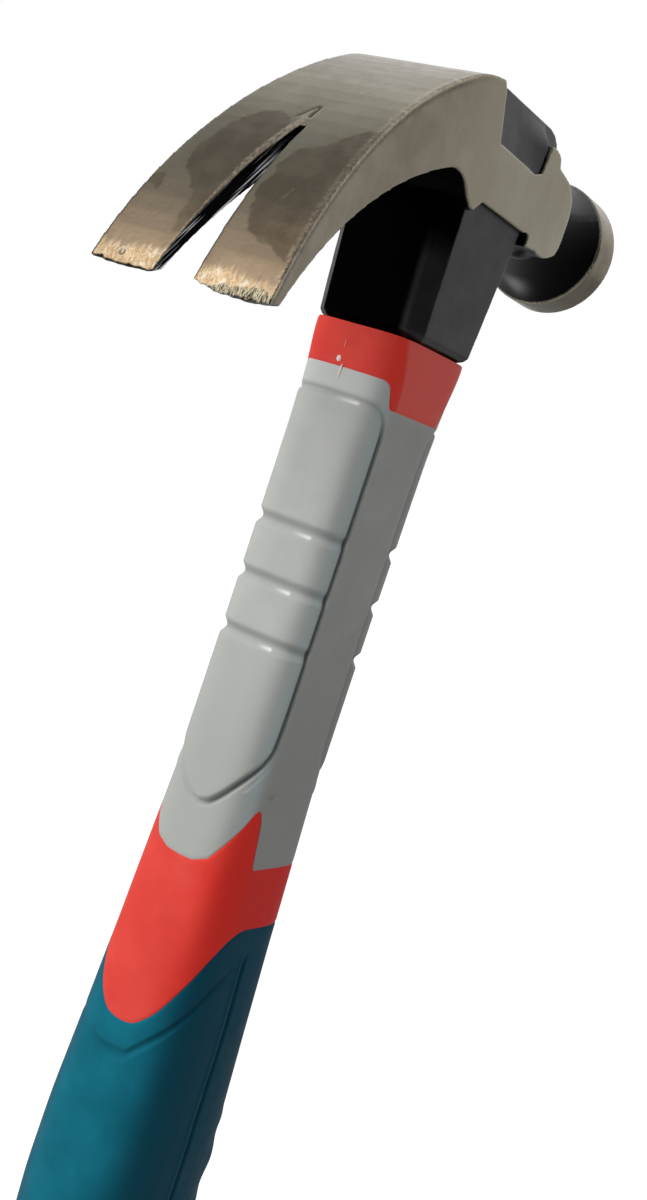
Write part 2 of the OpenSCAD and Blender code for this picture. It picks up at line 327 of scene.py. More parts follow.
def add_node(tree, kind, inputs, **settings):
    node = tree.nodes.new("ShaderNode" + kind)
    for key, value in settings.items():
        setattr(node, key, value)
    set_inputs(tree, node, inputs)
    return node


def new_material(name):
    material = bpy.data.materials.new(name)
    material.use_nodes = True
    return material, material.node_tree, material.node_tree.nodes["Principled BSDF"]


def replace_shader(tree, surface, first, second):
    """Puts the sum of two shaders in place of the material's own."""
    tree.nodes.remove(surface)
    both = add_node(tree, "AddShader", {0: first.outputs[0], 1: second.outputs[0]})
    set_inputs(tree, tree.nodes["Material Output"], {"Surface": both.outputs[0]})


def emission(tree, strength, colour=(1, 1, 1, 1)):
    return add_node(tree, "Emission", {"Color": colour, "Strength": strength})


def own_place(tree):
    return tree.nodes.new("ShaderNodeTexCoord").outputs["Object"]


def in_millimetres(tree, stretch=(1, 1, 1)):
    """The object's own coordinates in millimetres, divided by stretch along each axis."""
    scale = tuple(1 / MM / s for s in stretch)
    return add_node(tree, "Mapping", {"Vector": own_place(tree), "Scale": scale}).outputs[0]


def noise(tree, size, detail=2.0, rough=0.5, stretch=(1, 1, 1)):
    """Noise from 0 to 1 whose lumps measure about size millimetres."""
    return add_node(tree, "TexNoise", {"Vector": in_millimetres(tree, stretch), "Scale": 1 / size,
                                       "Detail": detail, "Roughness": rough}).outputs["Fac"]


def spread(tree, value, low, high, to_low=0.0, to_high=1.0):
    """value moved from the range low..high to to_low..to_high, clamped."""
    return add_node(tree, "MapRange", {"Value": value, "From Min": low, "From Max": high,
                                       "To Min": to_low, "To Max": to_high}).outputs["Result"]


def maths(operation):
    return lambda tree, a, b: add_node(tree, "Math", {0: a, 1: b}, operation=operation).outputs[0]


times, plus, larger = maths("MULTIPLY"), maths("ADD"), maths("MAXIMUM")


def linear(colour):
    """A screen colour, 0 to 255, in linear light."""
    light = [((c / 255 + 0.055) / 1.055) ** 2.4 if c > 10 else c / 255 / 12.92 for c in colour]
    return (*light, 1)


def blend(tree, share, first, second):
    """Mixes two colours, each a socket or a screen colour: share 0 is first, 1 is second."""
    first, second = (linear(c) if isinstance(c, tuple) else c for c in (first, second))
    # A Mix node's colours are its inputs 6 and 7 and its output 2
    return add_node(tree, "Mix", {0: share, 6: first, 7: second}, data_type="RGBA").outputs[2]


def layered(tree, colour, layers):
    """A colour with others laid over it, each by its own share."""
    for share, over in layers:
        colour = blend(tree, share, colour, over)
    return colour


def bump(tree, height, depth, normal=None):
    """A bump of depth millimetres from a height of 0 to 1."""
    inputs = {"Height": height, "Distance": depth * MM, "Strength": 1.0}
    if normal is not None:
        inputs["Normal"] = normal
    return add_node(tree, "Bump", inputs).outputs[0]


# ---- Materials ----

def moulded(name, colour, shade, roughness, specular, tints=(), grain=0.3, grain_depth=0.008):
    """Moulded rubber or plastic: slow colour drift, fine grain, uneven gloss. Each tint is a
    painted mask and the colour it brings in. The grain is in millimetres."""
    material, tree, surface = new_material(name)
    drift = spread(tree, noise(tree, 9, 3), 0.35, 0.65)
    gloss = noise(tree, 4, 4, 0.6)
    fine = noise(tree, grain, 2, 0.6)
    set_inputs(tree, surface, {
        "Base Color": layered(tree, blend(tree, drift, shade, colour), tints),
        "Roughness": spread(tree, gloss, 0.3, 0.7, roughness - 0.06, roughness + 0.06),
        "Normal": bump(tree, fine, grain_depth, bump(tree, noise(tree, 5, 1), 0.1)),
        "Specular IOR Level": specular,
    })
    return material


def steel_colour(tree, lines, hair):
    """Ground steel: grinding lines, faint staining, painted dark reflections and shade, bright ridges,
    and tips ground gold and torn.
    """
    stain = spread(tree, noise(tree, 11, 3), 0.4, 0.6)
    cloud = spread(tree, noise(tree, 5, 3), 0.4, 0.6)
    pits = spread(tree, noise(tree, 0.7, 3, 0.8), 0.42, 0.6, 0.1, 1.0)
    # The tips' gold is partly a painted reflection of the lamp, and the glare on it painted highlights
    gold = blend(tree, spread(tree, hair, 0.35, 0.65), (190, 164, 130), (252, 240, 214))
    glare = spread(tree, noise(tree, 1.5, 2, 0.4), 0.56, 0.66, 0, 0.9)
    return layered(tree, blend(tree, stain, (170, 164, 146), (161, 154, 135)), [
        (spread(tree, lines, 0.5, 0.8, 0, 0.18), (192, 185, 168)),
        ("warm", (176, 156, 139)),
        # Painted dark reflections and painted shade
        ("dark", blend(tree, cloud, (132, 122, 106), (146, 136, 119))),
        (times(tree, "ridge", pits), (226, 210, 188)),
        ("tip_band", blend(tree, glare, gold, (255, 253, 244))),
        ("cut", blend(tree, spread(tree, hair, 0.42, 0.58), (74, 72, 58), (224, 224, 206))),
        # Painted shade lines and the tool mark's cuts
        ("line", (34, 30, 26)),
    ])


def coat_colour(tree):
    """Black paint: near black in painted shade, a painted highlight under the bell, and pale scores on
    the V slot's walls.
    """
    cloud = spread(tree, noise(tree, 6, 3), 0.4, 0.7)
    scale = (MM, 6 * MM, 40 * MM)
    turned = {"Vector": own_place(tree), "Rotation": (0, SLOT_TILT, 0), "Scale": scale}
    along = add_node(tree, "Mapping", turned, vector_type="TEXTURE").outputs[0]
    streaks = add_node(tree, "TexNoise", {"Vector": along, "Scale": 1.7, "Detail": 2.0})
    # The walls' pale streaks: partly scores, partly painted highlights
    scores = times(tree, "wall", spread(tree, streaks.outputs["Fac"], 0.56, 0.61))
    return layered(tree, blend(tree, cloud, (41, 41, 45), (57, 57, 60)), [
        ("matte", (5, 5, 8)), ("painted_sheen", (150, 150, 152)), (scores, (240, 240, 246))])


def head_finish():
    """Satin ground steel where the mask says so, black paint elsewhere."""
    material, tree, surface = new_material("ground_steel_and_black_paint")
    lines = noise(tree, 0.3, 3, 0.7, (1, 1, 24))
    hair = noise(tree, 0.28, 3, 0.7, (1, 1, 10))
    satin = spread(tree, noise(tree, 3, 3, 0.6), 0.3, 0.7, 0.2, 0.3)
    gloss = spread(tree, noise(tree, 5, 3, 0.6), 0.3, 0.7, 0.3, 0.42)
    difference = plus(tree, satin, times(tree, gloss, -1.0))
    tips = times(tree, larger(tree, "tip_band", "cut"), hair)
    torn = bump(tree, tips, 0.02, bump(tree, noise(tree, 1.1), 0.02))
    set_inputs(tree, surface, {
        "Base Color": blend(tree, "ground", coat_colour(tree), steel_colour(tree, lines, hair)),
        # Metallic also where shade is painted, so that its near black reflects almost nothing
        "Metallic": larger(tree, "ground", "matte"),
        "Roughness": plus(tree, gloss, times(tree, "ground", difference)),
        "Normal": bump(tree, times(tree, "ground", lines), 0.008, torn),
        "IOR": 1.45,
    })
    return material


def fibreglass():
    """The core: straw-coloured resin with glass strands, cut square at its ends."""
    material, tree, surface = new_material("fibreglass_strands")
    strands = noise(tree, 0.35, 2, 0.5, (1, 1, 80))
    set_inputs(tree, surface, {
        "Base Color": blend(tree, strands, (150, 140, 96), (206, 198, 152)),
        "Normal": bump(tree, strands, 0.06),
        "Roughness": 0.5,
    })
    return material


def poured_resin():
    """The bond round the core: black resin that set with a smooth, slightly wavy top."""
    material, tree, surface = new_material("poured_resin")
    set_inputs(tree, surface, {
        "Base Color": blend(tree, noise(tree, 3), (12, 11, 10), (30, 27, 24)),
        "Normal": bump(tree, noise(tree, 2.2), 0.15),
        "Roughness": 0.22,
    })
    return material


# ---- Number helpers ----

def blurred(values, width, mode):
    """values smoothed by a bell curve whose spread is width samples."""
    reach = int(3 * width) + 1
    bell = np.exp(-0.5 * (np.arange(-reach, reach + 1) / width) ** 2)
    return np.convolve(np.pad(values, reach, mode=mode), bell / bell.sum(), "valid")


def ease(x):
    """0 below 0, 1 above 1, smooth in between."""
    x = np.clip(x, 0, 1)
    return x * x * (3 - 2 * x)


def notch(distance, half):
    """1 at the middle of a round-bottomed groove, 0 past its lips."""
    x = np.clip(np.abs(distance) / half, 0, 1)
    return (1 - x * x) ** 2


def waves(places, size, seed, count=14):
    """A smooth, repeatable unevenness from about -1 to 1, with lumps about size across."""
    draw = np.random.default_rng(seed)
    total = np.zeros(len(places))
    for _ in range(count):
        way = draw.normal(size=3)
        way *= 2 * np.pi / (size * draw.uniform(1.3, 3.0)) / np.linalg.norm(way)
        total += np.sin(places @ way + draw.uniform(0, 2 * np.pi))
    return total / math.sqrt(count)


def distance_to_path(u, v, path):
    """Distance of points (u, v) from a path of straight stretches."""
    best = np.full(u.shape, 1e9)
    for (u0, v0), (u1, v1) in zip(path[:-1], path[1:]):
        du, dv = u1 - u0, v1 - v0
        t = np.clip(((u - u0) * du + (v - v0) * dv) / (du * du + dv * dv + 1e-12), 0, 1)
        best = np.minimum(best, np.hypot(u - u0 - t * du, v - v0 - t * dv))
    return best


def inside(u, v, outline, soft):
    """1 inside a closed outline and 0 outside, eased over a distance of soft."""
    path = outline + outline[:1]
    within = np.zeros(u.shape, bool)
    for (u0, v0), (u1, v1) in zip(path[:-1], path[1:]):
        slope = (u1 - u0) / (v1 - v0 + 1e-9)
        within ^= ((v0 > v) != (v1 > v)) & (u < u0 + (v - v0) * slope)
    reach = distance_to_path(u, v, path)
    return ease(0.5 + np.where(within, reach, -reach) / soft)


def rounded_path(points, rounds=3):
    """The path with its corners cut, each time to a quarter of each stretch."""
    path = np.array(points, float)
    for _ in range(rounds):
        first = path[:-1] * 0.75 + path[1:] * 0.25
        second = path[:-1] * 0.25 + path[1:] * 0.75
        middle = np.stack([first, second], axis=1).reshape(-1, 2)
        path = np.concatenate([path[:1], middle, path[-1:]])
    return path


# ---- Handle surface ----

TABLE_Z = np.arange(-12.0, SOCKET_Z + 12.0, 0.5)
GRIP_TABLE = [blurred(np.interp(TABLE_Z, GRIP_SECTIONS[:, 0], GRIP_SECTIONS[:, i]), 5, "edge")
              for i in (1, 2, 3)]


def super_r(a, x, y, p):
    """Radius of a rounded rectangle (a superellipse) in one direction."""
    turn = np.radians(a)
    return (np.abs(np.cos(turn) / x) ** p + np.abs(np.sin(turn) / y) ** p) ** (-1 / p)


def grip_r(a, z):
    """Radius of the handle before its relief."""
    return super_r(a, *(np.interp(z, TABLE_Z, column) for column in GRIP_TABLE))


def fold(a):
    """The angle from the claw side, 0 to 180, the same on both sides."""
    a = np.mod(a, 360)
    return np.minimum(a, 360 - a)


def place_at(a, r, z):
    turn = np.radians(a)
    return np.stack([-r * np.cos(turn), -r * np.sin(turn), z + 0 * r], axis=-1)


def edge_height(table, width):
    """An edge between mouldings, its corners softened: its height at an angle."""
    angles = np.arange(0, 180.01, 0.5)
    drops = blurred(np.interp(angles, *zip(*table)), width * 2, "reflect")
    return lambda a: SOCKET_Z - np.interp(fold(a), angles, drops)


def level(height):
    return lambda a: height + 0 * a


collar_low = edge_height(COLLAR_EDGE, 1.0)
sleeve_low = edge_height(SLEEVE_EDGE, 1.1)
band_low = edge_height(BAND_EDGE, 3.0)


def lengths_round(z):
    """Angles from 0 to 180 and the distance round the section to each, at a height."""
    angles = np.arange(0, 180.01, 0.5)
    ring = place_at(angles, grip_r(angles, z), z)
    steps = np.linalg.norm(np.diff(ring, axis=0), axis=1)
    return angles, np.concatenate([[0], np.cumsum(steps)])


SLEEVE_ANGLES, SLEEVE_LENGTHS = lengths_round(SOCKET_Z - 60)


def across(a):
    """Distance round the sleeve from the nearer pad's middle."""
    side = fold(a)
    return np.interp(np.minimum(side, 180 - side), SLEEVE_ANGLES, SLEEVE_LENGTHS)


PAD_PATH = rounded_path([(across(a), d) for a, d in PAD_OUTLINE])
PAD_TOP_PATH = PAD_PATH[: np.argmax(PAD_PATH[:, 0])]
PAD_LOW_PATH = PAD_PATH[np.argmax(PAD_PATH[:, 0]):][::-1]


def inside_pad(u, d):
    """How far a point lies inside the pad's outline, negative outside."""
    reach = distance_to_path(u, d, PAD_PATH)
    top = np.interp(u, *PAD_TOP_PATH.T)
    low = np.interp(u, *PAD_LOW_PATH.T)
    within = (d > top) & (d < low) & (u < PAD_PATH[:, 0].max())
    return np.where(within, reach, -reach)


def signed(a):
    """The angle from the claw side, -180 to 180."""
    return np.mod(a + 180, 360) - 180


def outline_strength(a, d):
    """How deep the groove round a pad is: shallow along the top and low on the far side."""
    top = 0.5 + 0.5 * ease((d - 15) / 6)
    low = 1 - 0.7 * ease((d - 88) / 8) * ease((14 - signed(a)) / 18)
    return top * low


def sleeve_relief(a, z):
    """Pads front and back with a groove round them and grooves across, and a low side panel."""
    d = SOCKET_Z - z
    depth = inside_pad(across(a), d)
    relief = PAD_RISE * ease(depth / 1.4) - PAD_GROOVE * outline_strength(a, d) * notch(depth, 0.9)
    for drop in CROSS_GROOVES:
        relief -= PAD_GROOVE * notch(d - drop, 1.9) * ease(depth / 1.2 + 0.5)
    panel = np.minimum(-depth - 1.6, np.minimum(d - PANEL[0], PANEL[1] - d))
    return relief + PANEL_RISE * ease(panel / 0.9)


def grip_grooves(a, z):
    """How deep the V groove and the side groove are at a point, and how high the lip is."""
    d = SOCKET_Z - z
    turn = signed(a)
    vee = notch(d - np.interp(turn, *zip(*VEE)), 1.6) * ease((82 - turn) / 28)
    vee = vee * (0.25 + 0.75 * ease((turn + 30) / 30)) * ease((turn + 90) / 25)
    middle = np.interp(d, *zip(*[(drop, angle) for angle, drop in SIDE_GROOVE]))
    reach = (fold(a) - middle) * grip_r(a, z) * math.pi / 180
    run = ease((d - 129.5) / 4) * ease((z - BUTT_H - 12) / 6)
    return 0.6 * vee, 0.75 * run * notch(reach, 0.8), 0.2 * run * notch(reach + 1.6, 1.0)


def grip_relief(a, z):
    """The grooves and a raised lip beside the side ones, and ribs for the fingers."""
    vee, groove, lip = grip_grooves(a, z)
    finger = np.cos((z - RIBS[0]) * 2 * np.pi / RIB_PITCH / 2) ** 2
    span = ease((z - RIBS[0]) / 5) * ease((RIBS[1] - z) / 5)
    ribs = RIB_RISE * finger * span * ease((fold(a) - 120) / 14)
    return lip - GRIP_GROOVE * np.maximum(vee, groove) + ribs


def no_relief(a, z):
    return 0 * z


# ---- Painted masks of the mouldings ----

def red_marks(a, z):
    """Painted light and shade: the flat sides beyond the rounded corners, and the corners' shade
    painted a deeper red.
    """
    corner = np.interp(SOCKET_Z - z, [1, 9, 14, 100, 112, 120], [41.5, 50.5, 52, 52, 62, 67])
    side = ease((fold(a) - corner) / 3)
    on_collar = z > SOCKET_Z - 50
    # The corners' painted shade grows as the light falls off
    deep = ease((signed(a) - np.where(on_collar, 26, 10)) / np.where(on_collar, 16, 44))
    deep *= (1 - side) * (signed(a) < 90)
    return {"side": side * ease((160 - fold(a)) / 20), "deep": deep}


def sleeve_marks(a, z):
    """Painted shade and glints in the grooves, a painted cool tint at the pads' edges, a darker foot
    and a lighter top.
    """
    d = SOCKET_Z - z
    depth = inside_pad(across(a), d)
    # Painted shade in the groove round each pad and in the grooves across
    groove_shade = 0.75 * notch(depth + 0.1, 0.7) * outline_strength(a, d) ** 2
    for drop in CROSS_GROOVES:
        groove_shade = np.maximum(groove_shade, 0.3 * notch(d - drop + 0.3, 1.3) * ease(depth + 0.5))
    # Painted highlights along the grooves
    painted_glint = 0 * z
    for drop, first, last in PAINTED_GLINTS:
        share = np.clip((signed(a) - first) / (last - first), 0, 1)
        painted_glint = np.maximum(painted_glint, notch(d - drop, 0.55) * share * ease((1 - share) / 0.15))
    # A painted cool tint where the pads' edges turn into shade
    return {"groove_shade": groove_shade, "painted_glint": painted_glint, "deep": np.exp(-((fold(a) - 42) / 7) ** 2),
            "low": ease((d - 48) / 45), "top": ease((14 - d) / 1.5)}


def grip_marks(a, z):
    """Painted shade in the grooves, and the sides painted a deeper teal as shade."""
    vee, groove, _ = grip_grooves(a, z)
    # Painted shade in the grooves and on the sides
    return {"groove_shade": np.maximum(0.3 * vee, 0.65 * groove), "side": ease((fold(a) - 22) / 24)}


# ---- Meshes ----

def make_piece(name, points, faces, material, sharp=None):
    """A mesh object from points in millimetres, which are kept inside the CAD box."""
    points = np.clip(points * MM, *np.array(CAD_BOX))
    mesh = bpy.data.meshes.new(name)
    mesh.from_pydata(points.tolist(), [], np.asarray(faces).tolist())
    mesh.shade_smooth()
    if sharp:
        mesh.set_sharp_from_angle(angle=math.radians(sharp))
    mesh.materials.append(material)
    return add_object(name, mesh)


def moulding(name, node, slot, top, low, relief, marks, material):
    """A moulding round the jacket, its edges eased where it meets its neighbours."""
    a, t = np.meshgrid(ANGLES, np.linspace(0, 1, ROWS[name]))
    z = top(a) + (low(a) - top(a)) * t
    from_edge = np.minimum(top(a) - z, z - low(a))
    r = grip_r(a, z) + relief(a, z) - 0.18 * np.exp(-(from_edge / 0.3) ** 2)
    outer = place_at(a, r, z).reshape(-1, 3)
    bore = super_r(ANGLES, JACKET_X, JACKET_Y, 4)
    inner = [place_at(ANGLES, bore, edge(ANGLES)) for edge in (low, top)]
    points = np.concatenate([outer, *inner])
    here = np.arange(len(points)).reshape(-1, SIDES)
    beside = np.roll(here, -1, 1)
    faces = np.stack([here, beside, np.roll(beside, -1, 0), np.roll(here, -1, 0)], axis=-1)
    piece = make_piece(name + "_moulding", points, faces.reshape(-1, 4), material, sharp=50)
    for mark, values in marks(a, z).items():
        paint(piece, mark, np.concatenate([values.ravel(), np.zeros(2 * SIDES)]))
    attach(piece, "root")
    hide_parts(node)
    return piece


def sharp_edges(mesh):
    """Both ends of each sharp edge of a mesh."""
    work = bmesh.new()
    work.from_mesh(mesh)
    bmesh.ops.remove_doubles(work, verts=work.verts, dist=1e-4)
    kept = [edge for edge in work.edges if edge.calc_face_angle(0) > math.radians(25)]
    ends = np.array([[corner.co for corner in edge.verts] for edge in kept])
    work.free()
    return ends


def onto_edges(points, ends, reach):
    """points moved onto the nearest of the edges where one passes within reach."""
    start, way = ends[:, 0], ends[:, 1] - ends[:, 0]
    moved = points.copy()
    for part in np.array_split(np.arange(len(points)), len(points) // 2000 + 1):
        here = points[part][:, None]
        share = ((here - start) * way).sum(-1) / (way * way).sum(-1)
        foot = start + np.clip(share, 0, 1)[..., None] * way
        gap = np.linalg.norm(here - foot, axis=-1)
        row = np.arange(len(part))
        best = gap.argmin(1)
        close = gap[row, best] < reach
        moved[part[close]] = foot[row, best][close]
    return moved


def fine_copy(node, voxel):
    """An even, fine mesh over a CAD node's surface, in millimetres: points, the surface's
    normals there, quads and edges."""
    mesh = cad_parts[node].data.copy()
    mesh.transform(Matrix.Scale(1 / MM, 4))
    surface = BVHTree.FromPolygons([v.co for v in mesh.vertices], [f.vertices for f in mesh.polygons])
    corners = sharp_edges(mesh)
    work = add_object("work", mesh)
    remesh = work.modifiers.new("even", "REMESH")
    remesh.mode = "VOXEL"
    remesh.voxel_size = voxel
    bpy.context.view_layer.update()
    done = work.evaluated_get(bpy.context.evaluated_depsgraph_get()).to_mesh()
    nearest = [surface.find_nearest(vertex.co) for vertex in done.vertices]
    edges = np.array([edge.vertices[:] for edge in done.edges])
    faces = [face.vertices[:] for face in done.polygons]
    bpy.data.objects.remove(work)
    points = np.array([hit[0] for hit in nearest])
    normals = np.array([hit[1] for hit in nearest])
    mixed = np.linalg.norm(neighbour_mean(normals, edges), axis=1) < 0.98
    points[mixed] = onto_edges(points[mixed], corners, 0.7 * voxel)
    return points, normals, faces, edges


def neighbour_mean(values, edges):
    """The mean of values over each point's neighbours."""
    total = np.zeros_like(values)
    count = np.bincount(edges.ravel(), minlength=len(values))
    for here, there in ((0, 1), (1, 0)):
        for axis in range(values.shape[1]):
            total[:, axis] += np.bincount(edges[:, here], values[edges[:, there], axis], len(values))
    return total / count[:, None]


def soften(points, edges, rounds, share=0.5):
    """points relaxed towards their neighbours; share may be one number a point."""
    share = np.broadcast_to(share, len(points))[:, None]
    for _ in range(rounds):
        points = points + share * (neighbour_mean(points, edges) - points)
    return points


def point_normals(points, faces):
    """Each point's normal, from the quads round it."""
    faces = np.array(faces)
    corners = points[faces]
    flat = np.cross(corners[:, 2] - corners[:, 0], corners[:, 3] - corners[:, 1])
    total = np.zeros_like(points)
    for i in range(4):
        for axis in range(3):
            total[:, axis] += np.bincount(faces[:, i], flat[:, axis], len(points))
    return total / (np.linalg.norm(total, axis=1)[:, None] + 1e-12)


def paint(piece, name, values):
    """Keeps one number a point for the material to read."""
    attribute = piece.data.attributes.new(name, "FLOAT", "POINT")
    attribute.data.foreach_set("value", np.asarray(values, np.float32))


# ---- Head ----

def circle_through(a, b, c):
    """Centre and radius of the circle through three points of the side view."""
    a, b, c = np.array([a, b, c])
    centre = np.linalg.solve(2 * np.array([b - a, c - a]), [b @ b - a @ a, c @ c - a @ a])
    return centre, np.linalg.norm(a - centre)


# Circles: the claw's outer face and the cheek's end in the side view, the flare from above
CLAW_TIP = (-70.85, -6.4)
CLAW_CENTRE, CLAW_R = circle_through(CLAW_TIP, (-50.6, 28.2), (-24.5, 48.3))
FLARE_CENTRE, FLARE_R = circle_through((-71.85, 20), (-52, 16.6), (-24, 14.7))
NECK_CENTRE, NECK_R = circle_through((22.3, 44.4), (30.7, 35.6), (18.6, 26.4))
RIM_X = 49.2
SLOT_ROOT_X = -52.4
SLOT_TILT = math.radians(30.7)
SLOT_SHIFT = 1.0
# Half widths of the slot at its root and at the tips
SLOT_HALF = (0.7, 4.4)
# Grids of the fine copies
HEAD_VOXEL = 0.33
BUTT_VOXEL = 0.6

# Painted dark reflections on the tines' outer faces: distance from the tip along the claw, and y
DARK_REFLECTION_PATCHES = [
    [(4, -21), (7.4, -17.2), (9.4, -13.5), (10.7, -10.2), (12.1, -7.3), (14.7, -6), (17.8, -4.7),
     (20.1, -4.2), (23.2, -4.2), (27.1, -3.9), (29.6, -4.7), (31.7, -5.3), (32.6, -7), (33.3, -9.3),
     (35.8, -10.9), (37.5, -12.4), (40, -14.2), (42, -21)],
    [(8.5, 6.8), (11.8, 7.1), (14.8, 7.2), (17, 8.1), (19.4, 10.2), (22, 13), (24.9, 14.7),
     (26.6, 14.5), (28.5, 14.1), (31.4, 13.5), (34, 12.8), (36.4, 11.9), (38.7, 10.3), (40.3, 8.6),
     (40.4, 5.9), (38, 2), (20, -3), (9, 0)],
    [(16.5, 17.9), (18.5, 17.9), (19.8, 16.5), (18.6, 15.3), (16.2, 14.9), (15, 15.9)]]
# A nick and a scratch, by the same measures
NICK = (37.4, 11.7)
SCRATCH = [(19.2, -9.6), (22, -10.4)]
# The light bevel along the far tine's slot edge: distance from the tip, width
BEVEL = [(0, 0.25), (14, 0.35), (22, 0.9), (28, 1.7), (37, 1.9), (45.5, 0)]
# How far the torn metal reaches up the near tine: -y, distance from the tip
TORN = [(5, -0.8), (7.3, 0.7), (9.4, 1.4), (12.5, 1.7), (15.8, 2.4), (18.1, 2.1), (20, 1.2)]


def along_claw(x, z):
    """Distance from the tip along the claw's outer face."""
    turn = np.arctan2(z - CLAW_CENTRE[1], x - CLAW_CENTRE[0])
    tip = math.atan2(CLAW_TIP[1] - CLAW_CENTRE[1], CLAW_TIP[0] - CLAW_CENTRE[0])
    return CLAW_R * (tip - turn)


def cheek_width(x):
    """Half width of the ground sides at a distance along the head."""
    flare = FLARE_CENTRE[1] - np.sqrt(FLARE_R ** 2 - (np.clip(x, -71, -24) - FLARE_CENTRE[0]) ** 2)
    return np.where(x < -24, flare, np.interp(x, [24, 29, 31.4, 33.6], [14.7, 14.5, 13.8, 12]))


def slot_edge(x, side):
    """Where the V slot's edge lies across the claw, on the far (1) or the near (-1) side."""
    open_share = np.clip((SLOT_ROOT_X - x) / (SLOT_ROOT_X - CLAW_TIP[0]), 0, 1)
    middle = SLOT_SHIFT * (2 * open_share - 1)
    return middle + side * (SLOT_HALF[0] + (SLOT_HALF[1] - SLOT_HALF[0]) * open_share)


def from_claw_centre(x, z):
    return np.hypot(x - CLAW_CENTRE[0], z - CLAW_CENTRE[1])


def ground_mask(p, normal):
    """1 where the forging is ground bright: claw, cheeks, rim and face."""
    x, y, z = p.T
    from_centre = from_claw_centre(x, z)
    edge = np.abs(y) > cheek_width(x) - 0.12
    claw_top = (from_centre > CLAW_R - 0.3) & (np.abs(normal[:, 1]) < 0.5)
    claw_top = (claw_top | (from_centre > CLAW_R - 0.12)) & (x < -24.5)
    crown = (x >= -25) & (x < -13.6) & (normal[:, 2] > 0.6) & (z > 47)
    sides = (np.abs(y) > cheek_width(x) - 0.3) & (np.abs(normal[:, 1]) > 0.8) | edge
    in_neck = (x < 22) | (np.hypot(x - NECK_CENTRE[0], z - NECK_CENTRE[1]) < NECK_R + 0.1)
    cheek = sides & (x < 34) & in_neck & ((z > 25) | (x < -15))
    lug = (x > 11.2) & (x < 20) & (z > 45.6) & (np.abs(y) > 13.4) & (normal[:, 0] > -0.7)
    rim = x > RIM_X - 0.1
    return (claw_top | crown | cheek | lug | rim).astype(float)


def swell_boss(p, ground, normal):
    """The boss swelled towards the lugs, which leaves a slit beside them."""
    x, y, z = p.T
    on_boss = (ground < 0.5) & (x > -2) & (x < 11.6) & (z > 40) & (np.abs(y) > 10)
    on_boss &= np.abs(normal[:, 1]) > 0.7
    share = on_boss * np.clip((x + 2) / 13, 0, 1) ** 1.5 * ease((52 - z) / 6)
    return p + (share * np.clip(14.2 - np.abs(y), 0, None) * np.sign(y))[:, None] * [0, 1, 0]


def lift_lobes(p):
    """The lower ends of the cheeks raised a little."""
    x, y, z = p.T
    share = ease((31 - z) / 5) * ease((np.abs(y) - 9.5) / 2.5) * (x > 12) * (x < 32)
    return p + (1.3 * share)[:, None] * [0, 0, 1]


def shape_tips(p):
    """The tines' ends bowed and a little ragged, as ground by hand, and by how much."""
    x, y, z = p.T
    far = 0.5 * (1 - ((y - 11) / 9) ** 2)
    near = 0.8 * (1 - ((y + 13) / 8) ** 2)
    torn = waves(y[:, None] * [1, 0, 0], 0.8, 5)
    longer = np.where(y > 1, far + 0.06 * torn, near + 0.13 * torn)
    share = ease((0.5 - z) / 6.5) * (x < -60)
    return p - (longer * share)[:, None] * [0, 0, 1], longer


def thin_at_slot(p):
    """The tines thinned from below towards the V slot."""
    x, y, z = p.T
    out = np.stack([x - CLAW_CENTRE[0], 0 * y, z - CLAW_CENTRE[1]], axis=1)
    from_centre = np.linalg.norm(out, axis=1)
    top_x = CLAW_CENTRE[0] + out[:, 0] * CLAW_R / from_centre
    side = np.where(y > slot_edge(top_x, 0), 1, -1)
    from_slot = np.abs(y - slot_edge(top_x, side))
    share = 0.5 * ease(1 - from_slot / 9) * ease((SLOT_ROOT_X + 3 - top_x) / 6)
    depth = np.clip(CLAW_R - from_centre, 0, None) * (x < -40)
    return p + (share * depth / from_centre)[:, None] * out


def dent(p, place):
    """A round dent with a raised lip."""
    away = np.linalg.norm(p - place, axis=1)
    depth = 0.22 * notch(away, 0.9) - 0.08 * np.exp(-((away - 0.8) / 0.25) ** 2)
    return p + depth[:, None] * [0.95, 0, -0.3]


def coat_masks(p, normal, ground):
    """Painted shade where the black paint lies in deep shade, a painted highlight under the bell, and
    the V slot's walls.
    """
    x, y, z = p.T
    sideways = np.abs(normal[:, 1])
    wall = (sideways > 0.7) & (x < -50) & (np.abs(y) < 7)
    facing = np.minimum(normal[:, 0], normal[:, 2])
    hidden = (facing < -0.25) & ((sideways < 0.75) | (y > 9))
    hidden &= (x < 22) | (np.abs(y) > 10) & (x < 31)
    hidden &= (z < 45.2) | (x < 10.8) | (x > 13)
    corner = 0.6 * ease((-y - 7.8) / 1.6) * ease((23 - z) / 9) * (x < 0)
    bell = 0.95 * ease((0.68 - normal[:, 2]) / 0.3) * ease((x - 26) / 8)
    painted_sheen = np.exp(-((x - 43) / 3) ** 2 - (y / 2.2) ** 2) * (normal[:, 2] < -0.5)
    # Painted shade on the slot's walls, the faces turned away and the bell's lower side, less at the
    # socket's near corner, none at the painted highlight
    matte = np.maximum((wall | hidden) * (1 - corner), bell * (1 - painted_sheen)) * (1 - ground)
    return matte, painted_sheen, wall


def claw_places(p, faces, longer):
    """Where each point lies on the head. s is the distance from the claw's tip."""
    x, y, z = p.T
    at = SimpleNamespace(x=x, y=y, s=along_claw(x, z), width=cheek_width(x), longer=longer)
    from_centre = from_claw_centre(x, z)
    at.normal = point_normals(p, faces)
    at.on_top = ease((from_centre - CLAW_R + 0.9) / 0.5) * (x < -24)
    at.on_side = (np.abs(y) > at.width - 0.25) * (1 - at.on_top)
    at.from_ridge = np.hypot(CLAW_R - from_centre, at.width - np.abs(y))
    at.along_ridge = ease((-17 - x) / 14) * (y < 0)
    return at


